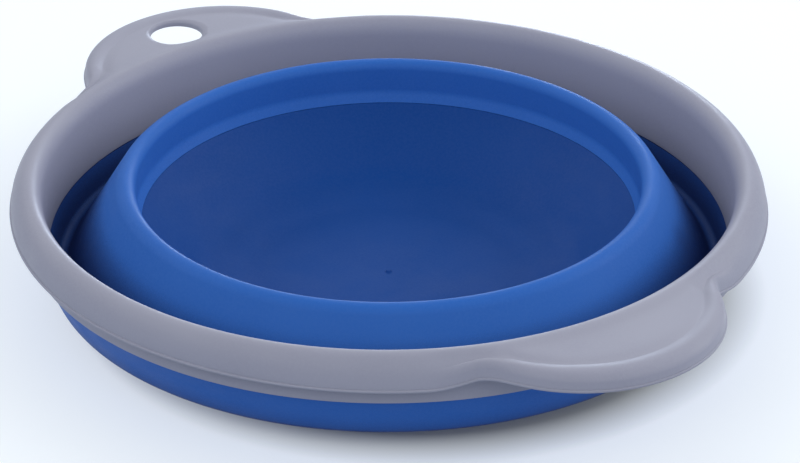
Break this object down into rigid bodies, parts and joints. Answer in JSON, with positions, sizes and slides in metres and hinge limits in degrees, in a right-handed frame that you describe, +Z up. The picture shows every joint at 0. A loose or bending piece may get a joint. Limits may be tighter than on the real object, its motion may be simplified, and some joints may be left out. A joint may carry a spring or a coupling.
{
  "type": "pet bathtub",
  "caption": "Small round collapsible tub folded flat: a rigid rim with two ear handles, a flexible folding wall and a dished base.",
  "frame": {"origin": "on the ground, under the middle of the tub", "axes": "+Z up, +X towards the ear handle with no hole, the hanging handle at -X"},
  "size_m": [0.3824, 0.315, 0.0517],
  "materials": {
    "rim_grey": "satin",
    "rubber_blue": "satin",
    "base_blue": "satin"
  },
  "bodies": {
    "base": {"base_floor": "base_blue", "base_wall": "base_blue", "ridge_wall": "rubber_blue"},
    "rim": {"rim_frame": "rim_grey", "plain_handle": "rim_grey", "hanging_handle": "rim_grey", "upper_wall": "rubber_blue"},
    "band_1": {"folding_band_1": "rubber_blue"},
    "band_2": {"folding_band_2": "rubber_blue"},
    "band_3": {"folding_band_3": "rubber_blue"},
    "band_4": {"folding_band_4": "rubber_blue"},
    "band_5": {"folding_band_5": "rubber_blue"},
    "band_6": {"folding_band_6": "rubber_blue"},
    "band_7": {"folding_band_7": "rubber_blue"},
    "band_8": {"folding_band_8": "rubber_blue"}
  },
  "joints": [
    {"name": "rim_lift", "type": "slide", "parent": "base", "child": "rim", "axis": [0, 0, 1], "range_m": [0, 0.068]},
    {"name": "band_1_lift", "type": "slide", "parent": "base", "child": "band_1", "axis": [0, 0, 1], "range_m": [0, 0.001]},
    {"name": "band_2_lift", "type": "slide", "parent": "base", "child": "band_2", "axis": [0, 0, 1], "range_m": [0, 0.0065]},
    {"name": "band_3_lift", "type": "slide", "parent": "base", "child": "band_3", "axis": [0, 0, 1], "range_m": [0, 0.016]},
    {"name": "band_4_lift", "type": "slide", "parent": "base", "child": "band_4", "axis": [0, 0, 1], "range_m": [0, 0.0279]},
    {"name": "band_5_lift", "type": "slide", "parent": "base", "child": "band_5", "axis": [0, 0, 1], "range_m": [0, 0.0405]},
    {"name": "band_6_lift", "type": "slide", "parent": "base", "child": "band_6", "axis": [0, 0, 1], "range_m": [0, 0.0524]},
    {"name": "band_7_lift", "type": "slide", "parent": "base", "child": "band_7", "axis": [0, 0, 1], "range_m": [0, 0.0619]},
    {"name": "band_8_lift", "type": "slide", "parent": "base", "child": "band_8", "axis": [0, 0, 1], "range_m": [0, 0.0674]}
  ],
  "couplings": [
    {"joint": "band_1_lift", "follows": "rim_lift", "ratio": 0.0112},
    {"joint": "band_2_lift", "follows": "rim_lift", "ratio": 0.0923},
    {"joint": "band_3_lift", "follows": "rim_lift", "ratio": 0.2319},
    {"joint": "band_4_lift", "follows": "rim_lift", "ratio": 0.4067},
    {"joint": "band_5_lift", "follows": "rim_lift", "ratio": 0.5933},
    {"joint": "band_6_lift", "follows": "rim_lift", "ratio": 0.7681},
    {"joint": "band_7_lift", "follows": "rim_lift", "ratio": 0.9077},
    {"joint": "band_8_lift", "follows": "rim_lift", "ratio": 0.9888}
  ]
}
